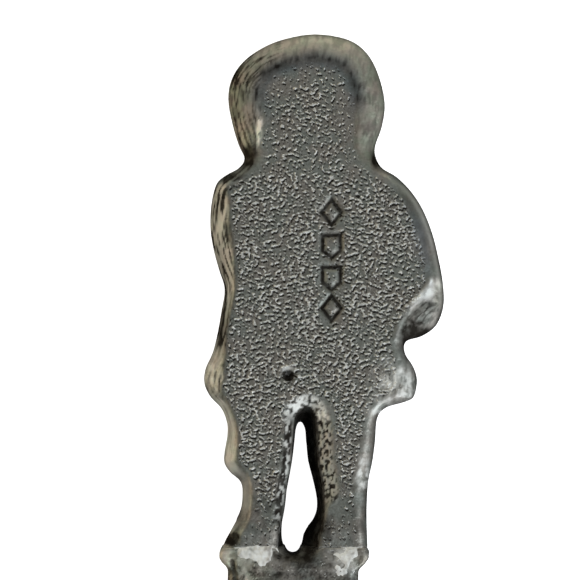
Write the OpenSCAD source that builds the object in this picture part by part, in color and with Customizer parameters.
// Souvenir spoon with a cast figure as its finial, in millimetres.
// The spoon lies face down: +Z is up, out of the figure's flat back and the bowl's back.
// +Y runs along the spoon towards the finial's crown. The origin is at mid-length, under the
// bowl's rim plane. Depths down the spoon are measured from the crown, so y = crown_y - depth.

/* [Whole spoon] */
// overall length
length = 114; // [112:0.5:118]

/* [Figure] */
// height of the figure's flat back above the table
back_z = 5; // [4.8:0.1:5.4]
// height of the edge where the figure is widest
edge_z = 3.9; // [3.6:0.1:4.2]
// depth of the punches in the back
punch_depth = 0.2; // [0.1:0.05:0.4]

/* [Plinth] */
// width of the block under the boots
block_w = 8.2; // [7.6:0.1:8.6]
// depth from the crown to the block's lower end
block_end = 39.6; // [38.6:0.2:40.4]
// width of each mortise and tenon
tenon_w = 1.8; // [1.4:0.1:2]
// length of each mortise and tenon
tenon_l = 1.6; // [1.2:0.1:2.2]

/* [Stem] */
// width at the plinth
stem_w = 4.6; // [4.2:0.1:5]
// thickness at the plinth
stem_t = 2.4; // [2.2:0.1:2.6]
// width at the slimmest place
waist_w = 3.4; // [3:0.1:3.8]
// length of the half-lap
lap_l = 4; // [3:0.5:4.5]

/* [Bowl] */
// length of the bowl
bowl_l = 35; // [34:0.5:36]
// width of the bowl
bowl_w = 22.5; // [21:0.5:24]
// height of the bowl's back above the rim
bowl_h = 7.5; // [7:0.1:8]
// thickness of the bowl's metal
bowl_wall = 1; // [0.8:0.1:1.2]

/* [Hidden] */
crown_y = length / 2;
metal = [0.56, 0.55, 0.53];
dark_metal = [0.44, 0.43, 0.41];
solder = [0.7, 0.7, 0.68];
boot_end = 32.2;      // depth of the boots' soles
seat_end = 33.6;      // depth of the ledge's lower side
shoulder_end = 42;    // depth where the plinth has narrowed to the stem
bowl_heel = length - bowl_l;
bowl_pole = bowl_heel + 16; // depth of the bowl's highest place

// The figure's widest outline, clockwise from the crown: across, depth, and how far in the
// flat back starts.
body_line = [
  [1.4, 0, 1.6], [3.3, 0.35, 1.7], [4.7, 1.4, 1.7], [5.4, 2.8, 1.7], [5.7, 4.4, 1.7],
  [5.5, 5.8, 1.6], [5.1, 7, 1.2], [5.2, 7.9, 0.7], [6.1, 8.7, 0.6], [7.2, 9.7, 0.7],
  [8.1, 11.1, 0.8], [8.7, 12.6, 0.8], [9.1, 14.2, 0.9], [9.35, 15.7, 1.3], [9.35, 17.1, 1.7],
  [8.9, 18.3, 1.5], [8, 18.95, 0.8], [7, 19.3, 0.4], [6.95, 20.1, 0.6], [7.5, 20.9, 1.3],
  [7.7, 21.8, 1.6], [7.4, 22.9, 1.3], [6.4, 23.2, 0.8], [5.5, 23.6, 0.6], [5.15, 24.5, 0.7],
  [5.05, 25.6, 0.8], [4.85, 26.8, 0.9], [4.65, 28, 0.9], [4.55, 29.4, 0.7], [4.55, 31, 0.6],
  [4.6, 32.2, 0.6], [4.7, 33.2, 0.6], [1, 33.4, 0.5], [-2, 33.4, 0.5], [-4.6, 33.2, 0.6],
  [-4.3, 32, 0.6], [-3.8, 31, 0.6], [-3.3, 30, 0.6], [-3.15, 28.9, 0.6], [-3.4, 27.9, 0.6],
  [-4.1, 27.3, 0.9], [-4.35, 26.6, 0.9], [-4.2, 25.6, 0.7], [-4.15, 24.6, 0.6],
  [-4.45, 23.6, 0.6], [-5.15, 22.8, 0.9], [-5.6, 21.8, 1.3], [-5.45, 20.9, 1.3],
  [-5, 19.9, 0.9], [-4.7, 18.8, 0.6], [-4.5, 17.4, 0.6], [-4.25, 16, 0.7], [-4.6, 14.8, 1.1],
  [-5, 13.5, 1.3], [-5.2, 12.1, 1.3], [-5.1, 10.5, 1.2], [-4.8, 9.4, 0.8], [-4, 8.8, 0.6],
  [-3.15, 8.1, 0.7], [-3.4, 7, 1.4], [-3.8, 5.7, 1.9], [-4.1, 4.1, 2], [-3.85, 2.8, 1.9],
  [-3.1, 1.7, 1.7], [-1.9, 0.9, 1.6], [-0.4, 0.3, 1.6]
];
// The gap between the legs at the back, clockwise from its top: across, depth, and how far
// the front of the gap lies to the left and further down.
gap_line = [
  [0.9, 23.4, 0.5, 0.6], [1.35, 24, 0.6, 0.4], [1.45, 25.2, 0.65, 0], [1.55, 26.8, 0.6, 0],
  [1.8, 28.4, 0.5, 0], [1.85, 29.6, 0.45, 0], [1.65, 30.9, 0.8, 0], [1.5, 32, 1, 0],
  [1.4, 33.6, 1, 0], [-0.8, 33.6, 0, 0], [-0.9, 32, -0.1, 0], [-0.75, 30.9, -0.1, 0],
  [-0.5, 29.6, -0.05, 0], [-0.35, 28.2, -0.05, 0], [-0.1, 27, -0.05, 0], [0, 25.4, -0.1, 0],
  [0.15, 24, -0.1, 0.3]
];
// Places down the stem: depth, height of the middle, width, thickness.
stem_line = [
  [shoulder_end, 3.1, stem_w, stem_t], [47, 3.1, stem_w, stem_t], [49, 3.1, stem_w, stem_t],
  [54, 3, stem_w - 0.5, stem_t - 0.1], [60, 2.75, waist_w + 0.2, stem_t - 0.2],
  [67, 2.4, waist_w, stem_t - 0.3], [73, 2.1, waist_w + 0.1, stem_t - 0.3],
  [77, 1.85, waist_w + 0.6, stem_t - 0.2], [79.5, 1.8, waist_w + 1.2, stem_t + 0.2],
  [81.5, 2.8, waist_w + 1.6, 2.2], [83.5, 4.35, waist_w + 1.2, 1.9],
  [85.5, 5.5, waist_w + 0.4, 1.6], [87.3, 6.3, waist_w - 0.8, 1.3], [88.6, 6.75, 1, 0.9]
];

// A smooth curve through a list of points of any size. A closed curve wraps round.
function curve_at(p, i, t, wrap) =
  let (n = len(p),
       a = wrap ? p[(i + n - 1) % n] : p[max(i - 1, 0)], b = p[i],
       c = wrap ? p[(i + 1) % n] : p[min(i + 1, n - 1)],
       d = wrap ? p[(i + 2) % n] : p[min(i + 2, n - 1)])
  b + t * (c - a) / 2 + t * t * (a - 2.5 * b + 2 * c - d / 2)
    + t * t * t * (1.5 * b - a / 2 - 1.5 * c + d / 2);
function closed_curve(p, steps) =
  [for (i = [0:len(p) - 1], k = [0:steps - 1]) curve_at(p, i, k / steps, true)];
function open_curve(p, steps) =
  [for (i = [0:len(p) - 2], k = [0:steps - 1]) curve_at(p, i, k / steps, false),
   p[len(p) - 1]];

// A solid through rings of points, each ring one level of it.
module loft(rings) {
  n = len(rings[0]);
  m = len(rings);
  polyhedron(
    points = [for (r = rings) each r],
    faces = [
      [for (i = [0:n - 1]) i],
      for (k = [0:m - 2], i = [0:n - 1])
        let (a = k * n + i, b = k * n + (i + 1) % n)
        each [[a, a + n, b + n], [a, b + n, b]],
      [for (i = [n - 1:-1:0]) (m - 1) * n + i]
    ],
    convexity = 8);
}

// A line of beads joined up: each bead is [across, depth, height, radius].
module beads(places, sides = 14) {
  for (i = [0:len(places) - 2]) hull() {
    bead(places[i], sides);
    bead(places[i + 1], sides);
  }
}
module bead(p, sides = 14) {
  translate([p[0], crown_y - p[1], p[2]]) sphere(p[3], $fn = sides);
}
module lump(at, size, sides = 24) {
  translate([at[0], crown_y - at[1], at[2]]) scale(size) sphere(1, $fn = sides);
}

// The body: a flat back that rolls over to the widest edge, and a rounded front.
module body_blank() {
  line = closed_curve(body_line, 2);
  n = len(line);
  function at(i, inset, z) =
    let (p = line[i], a = line[(i + n - 1) % n], b = line[(i + 1) % n],
         t = [b[0] - a[0], a[1] - b[1]] / norm([b[0] - a[0], a[1] - b[1]]))
    [p[0] + t[1] * inset, crown_y - p[1] - t[0] * inset, z];
  loft([
    for (turn = [90, 62, 36, 14]) [for (i = [0:n - 1])
      at(i, line[i][2] * (1 - cos(turn)), edge_z + (back_z - edge_z) * sin(turn))],
    for (turn = [0, 25, 55, 90]) [for (i = [0:n - 1])
      at(i, (0.2 + 0.75 * line[i][2]) * (1 - cos(turn)), edge_z - 0.3 - 1.33 * sin(turn))]
  ]);
}
module leg_gap() {
  line = closed_curve(gap_line, 2);
  function side(z, part) =
    [for (p = line) [p[0] - part * p[2], crown_y - p[1] - part * p[3], z]];
  loft([side(back_z + 0.5, -0.05), side(back_z - 0.4, 0.1), side(2.4, 0.8),
        side(-0.5, 1)]);
}

// The front of the figure, which faces the table.
module hood_ruff() {
  translate([0.85, crown_y - 4.5, 1.75]) {
    rotate_extrude($fn = 28) translate([3.3, 0]) circle(1.08, $fn = 12);
    for (a = [12:36:350])
      rotate(a) translate([3.25, 0, -0.15]) scale([1.1, 0.9, 1.05]) sphere(1.05, $fn = 10);
  }
}
module face() {
  lump([0.85, 4.6, 2.3], [2.7, 2.9, 1.35]);
  beads([[0.85, 4.2, 1.2, 0.28], [0.85, 5, 1.02, 0.42]], 12);
  for (side = [-1, 1]) {
    lump([0.85 + side * 0.95, 4.25, 1.15], [0.42, 0.2, 0.18], 12);
    lump([0.85 + side * 1.3, 5.2, 1.35], [0.75, 0.8, 0.4], 14);
  }
  lump([0.85, 5.95, 1.2], [0.55, 0.17, 0.2], 12);
}
module chest() {
  lump([1.3, 13.6, 2.55], [4.7, 6.6, 2.15]);
  lump([1, 18.6, 2.6], [5, 3.6, 1.85]);
}
module hanging_arm() {
  beads([[-3.3, 10.4, 2.5, 1.5], [-3.7, 13.4, 2.1, 1.45], [-3.3, 15.6, 1.9, 1.25]]);
  beads([[-3.3, 16, 1.75, 1.45], [-3, 17.4, 1.7, 1.2]]);
}
module bent_arm() {
  beads([[6, 10.9, 2.45, 1.55], [7.2, 14.2, 2.3, 1.65], [7.6, 16.7, 2.2, 1.6],
         [5, 16, 1.7, 1.45], [3.4, 15.2, 1.5, 1.3]]);
  beads([[2.9, 15, 1.5, 1.45], [1.7, 14.4, 1.25, 1.3]]);
}
module hem() {
  beads([[-4.2, 21.6, 2.6, 1], [-2.6, 22, 1.75, 1.05], [-0.4, 22.3, 1.35, 1.1],
         [1.8, 22.4, 1.25, 1.1], [4, 22.2, 1.6, 1.05], [6.3, 21.8, 2.6, 1]]);
  beads([[1, 9.2, 1.3, 0.6], [1, 21.6, 0.85, 0.6]]);
}
module legs() {
  beads([[-1.9, 23, 2.4, 1.7], [-2, 28, 2.3, 1.4]]);
  beads([[2.9, 23, 2.4, 1.7], [3.1, 28, 2.3, 1.4]]);
}
module boots() {
  beads([[-3.5, 27, 2.2, 0.75], [-2, 27.2, 1.3, 0.85], [-0.9, 27, 1.9, 0.7]]);
  beads([[2.3, 27, 1.9, 0.7], [3.2, 27.2, 1.3, 0.85], [4.3, 27, 2.2, 0.7]]);
  beads([[-2.1, 28.6, 2.1, 1.3], [-2.3, 31.2, 1.3, 1.35]]);
  beads([[3.1, 28.6, 2.1, 1.3], [2.7, 31.2, 1.3, 1.35]]);
}

// Blank punches, which carry no letters.
module punch(line, depth_at) {
  translate([2.4, crown_y - depth_at, back_z - punch_depth]) linear_extrude(1)
    difference() {
      polygon(line);
      polygon(line * 0.66);
    }
}
module punches() {
  lozenge = [[0, 0.95], [0.7, 0], [0, -0.95], [-0.7, 0]];
  shield = [[-0.65, 0.75], [0.65, 0.75], [0.65, -0.1], [0, -0.85], [-0.65, -0.1]];
  punch(lozenge, 11.2);
  punch(shield, 13.3);
  punch(shield, 15.3);
  punch(lozenge, 17.2);
  bead([-0.3, 21.4, back_z + 0.1, 0.38]);
}

module tenons(extra = 0) {
  for (x = [-2.45, 3.05])
    translate([x - tenon_w / 2, crown_y - boot_end - tenon_l, 2])
      cube([tenon_w, tenon_l + extra, 1.6]);
}

// A cast parka figure seen from behind, its right elbow bent and its left arm hanging.
module figure() color(metal) union() {
  difference() {
    union() {
      body_blank();
      hood_ruff();
      face();
      chest();
      hanging_arm();
      bent_arm();
      hem();
      legs();
      boots();
    }
    leg_gap();
    punches();
    translate([-20, crown_y - boot_end - 10, -10]) cube([40, 10, 30]);
    translate([-20, 0, -10]) cube([40, 60, 10]);
  }
  tenons(0.1);
}

// The block under the boots: a beaded ledge, a bevelled block with a blank plaque in front,
// shoulders, and half of the lap to the stem.
module ledge_plan() {
  ledge_r = (seat_end - boot_end) / 2;
  translate([-4, crown_y - seat_end]) square([8.3, 2 * ledge_r]);
  for (x = [-4, 4.3]) translate([x, crown_y - boot_end - ledge_r]) circle(ledge_r, $fn = 48);
}
module block_section(half, low, high, bevel) {
  polygon([[-half, low + bevel], [-half + bevel, low], [half - bevel, low],
           [half, low + bevel], [half, high - bevel], [half - bevel, high],
           [-half + bevel, high], [-half, high - bevel]]);
}
module along(from, to) {
  translate([0, crown_y - from, 0]) rotate([90, 0, 0]) linear_extrude(to - from) children();
}
module shoulders() {
  half = block_w / 2;
  intersection() {
    translate([0, 0, 1]) linear_extrude(4)
      polygon([[-half, crown_y - block_end], [half, crown_y - block_end],
               [stem_w / 2, crown_y - shoulder_end], [-stem_w / 2, crown_y - shoulder_end]]);
    translate([-10, 0, 0]) rotate([90, 0, 90]) linear_extrude(20)
      polygon([[crown_y - block_end, 1.3], [crown_y - block_end, 4.7],
               [crown_y - shoulder_end, 4.2], [crown_y - shoulder_end, 1.95]]);
  }
}
module plinth() color(dark_metal) difference() {
  union() {
    translate([0, 0, 0.9]) linear_extrude(3.9) ledge_plan();
    along(seat_end, block_end) block_section(block_w / 2, 1.3, 4.7, 0.45);
    difference() {
      along(seat_end + 0.5, block_end - 0.5) translate([-3.3, 0.8]) square([6.6, 1]);
      along(seat_end + 0.9, block_end - 0.9) translate([-2.9, 0.7]) square([5.8, 0.6]);
    }
    shoulders();
    along(shoulder_end, shoulder_end + lap_l) intersection() {
      polygon(stem_section(stem_w, stem_t, 3.1));
      translate([-10, 3.1]) square(20);
    }
  }
  tenons();
}

// The stem's section: a flattened oval.
function stem_section(w, t, z) = [for (a = [0:15:345])
  [w / 2 * sign(cos(a)) * pow(abs(cos(a)), 0.7), z + t / 2 * sign(sin(a)) * pow(abs(sin(a)), 0.7)]];
module stem_blank() {
  line = open_curve(stem_line, 4);
  last = len(line) - 1;
  loft([for (i = [0:last])
    let (a = line[max(i - 1, 0)], b = line[min(i + 1, last)],
         tilt = i < 6 ? 0 : atan((b[1] - a[1]) / (b[0] - a[0])), p = line[i])
    [for (q = stem_section(p[2], p[3], 0))
      [q[0], crown_y - p[0] + q[1] * sin(tilt), p[1] + q[1] * cos(tilt)]]]);
}
module stem() color(metal) difference() {
  stem_blank();
  translate([-10, crown_y - shoulder_end - lap_l, 3.1]) cube([20, lap_l + 1, 5]);
  bowl_solid(0);
}

// The bowl, opening towards the table: an egg shape that is widest nearer the heel.
function bowl_point(a, r, inset, height) =
  let (fore = cos(a) > 0, reach = (fore ? 16 : bowl_l - 16) - inset, half = bowl_w / 2 - inset)
  [half * r * sin(a) * (1 - 0.05 * cos(a) * (1 - abs(cos(a)))),
   crown_y - bowl_pole + reach * r * cos(a), height * pow(1 - pow(r, 2.4), 0.9)];
bowl_turns = [0:7.5:352.5];
bowl_steps = [1, 0.985, 0.95, 0.89, 0.81, 0.72, 0.61, 0.48, 0.34, 0.2, 0.07];
module bowl_solid(inset) {
  loft([for (r = bowl_steps) [for (a = bowl_turns)
    bowl_point(-a, r, inset, bowl_h - inset)]]);
}
module bowl() color(metal) {
  turns = [for (a = bowl_turns) -a];
  n = len(turns);
  m = len(bowl_steps);
  polyhedron(
    points = [
      for (r = bowl_steps, a = turns) bowl_point(a, r, 0, bowl_h),
      for (r = bowl_steps, a = turns) bowl_point(a, r, bowl_wall, bowl_h - bowl_wall)
    ],
    faces = [
      for (k = [0:m - 2], i = [0:n - 1])
        let (a = k * n + i, b = k * n + (i + 1) % n)
        each [[a, a + n, b + n], [a, b + n, b]],
      [for (i = [n - 1:-1:0]) (m - 1) * n + i],
      for (k = [m:2 * m - 2], i = [0:n - 1])
        let (a = k * n + i, b = k * n + (i + 1) % n)
        each [[a, b + n, a + n], [a, b, b + n]],
      [for (i = [0:n - 1]) (2 * m - 1) * n + i],
      for (i = [0:n - 1])
        let (j = (i + 1) % n)
        each [[i, j, m * n + j], [i, m * n + j, m * n + i]]
    ],
    convexity = 6);
}

// Solder along the boots, on the ledge's back.
module figure_solder() color(solder) intersection() {
  union() {
    lump([-2.9, 32.4, 4.75], [1.3, 0.6, 0.35], 20);
    lump([-1.7, 32.5, 4.75], [0.8, 0.5, 0.3], 20);
    lump([3.4, 32.45, 4.75], [1.1, 0.62, 0.38], 20);
    lump([2.4, 32.55, 4.75], [0.9, 0.5, 0.3], 20);
  }
  translate([-10, crown_y - boot_end - 5, 4.8]) cube([20, 5, 5]);
}
// Solder round the half-lap: a band over each step and a strip along each side.
module stem_solder() color(solder) difference() {
  union() {
    along(shoulder_end, shoulder_end + lap_l + 0.3) intersection() {
      polygon(stem_section(stem_w + 0.6, stem_t + 0.6, 3.1));
      translate([-10, 2.8]) square([20, 0.6]);
    }
    along(shoulder_end + lap_l - 0.3, shoulder_end + lap_l + 0.3) intersection() {
      polygon(stem_section(stem_w + 0.6, stem_t + 0.6, 3.1));
      translate([-10, 3.1]) square(20);
    }
    along(shoulder_end, shoulder_end + 0.5) intersection() {
      polygon(stem_section(stem_w + 0.6, stem_t + 0.6, 3.1));
      translate([-10, -16.9]) square(20);
    }
  }
  along(shoulder_end - 1, shoulder_end + lap_l + 1)
    polygon(stem_section(stem_w, stem_t, 3.1));
}
// The solder fillet round the stem's tongue: what a flatter, wider run leaves outside it.
module bowl_solder() color(solder) difference() {
  run = [[2.85, 80.6, 1.65], [3, 82, 2.95], [2.75, 84, 4.4], [2.3, 86, 5.5], [1.55, 87.5, 6.1],
         [0.95, 88.4, 6.4]];
  for (i = [0:len(run) - 2]) hull() {
    lump([0, run[i][1], run[i][2]], [run[i][0], 0.9, 0.75], 18);
    lump([0, run[i + 1][1], run[i + 1][2]], [run[i + 1][0], 0.9, 0.75], 18);
  }
  stem_blank();
  bowl_solid(0);
}

figure();
plinth();
stem();
bowl();
figure_solder();
stem_solder();
bowl_solder();
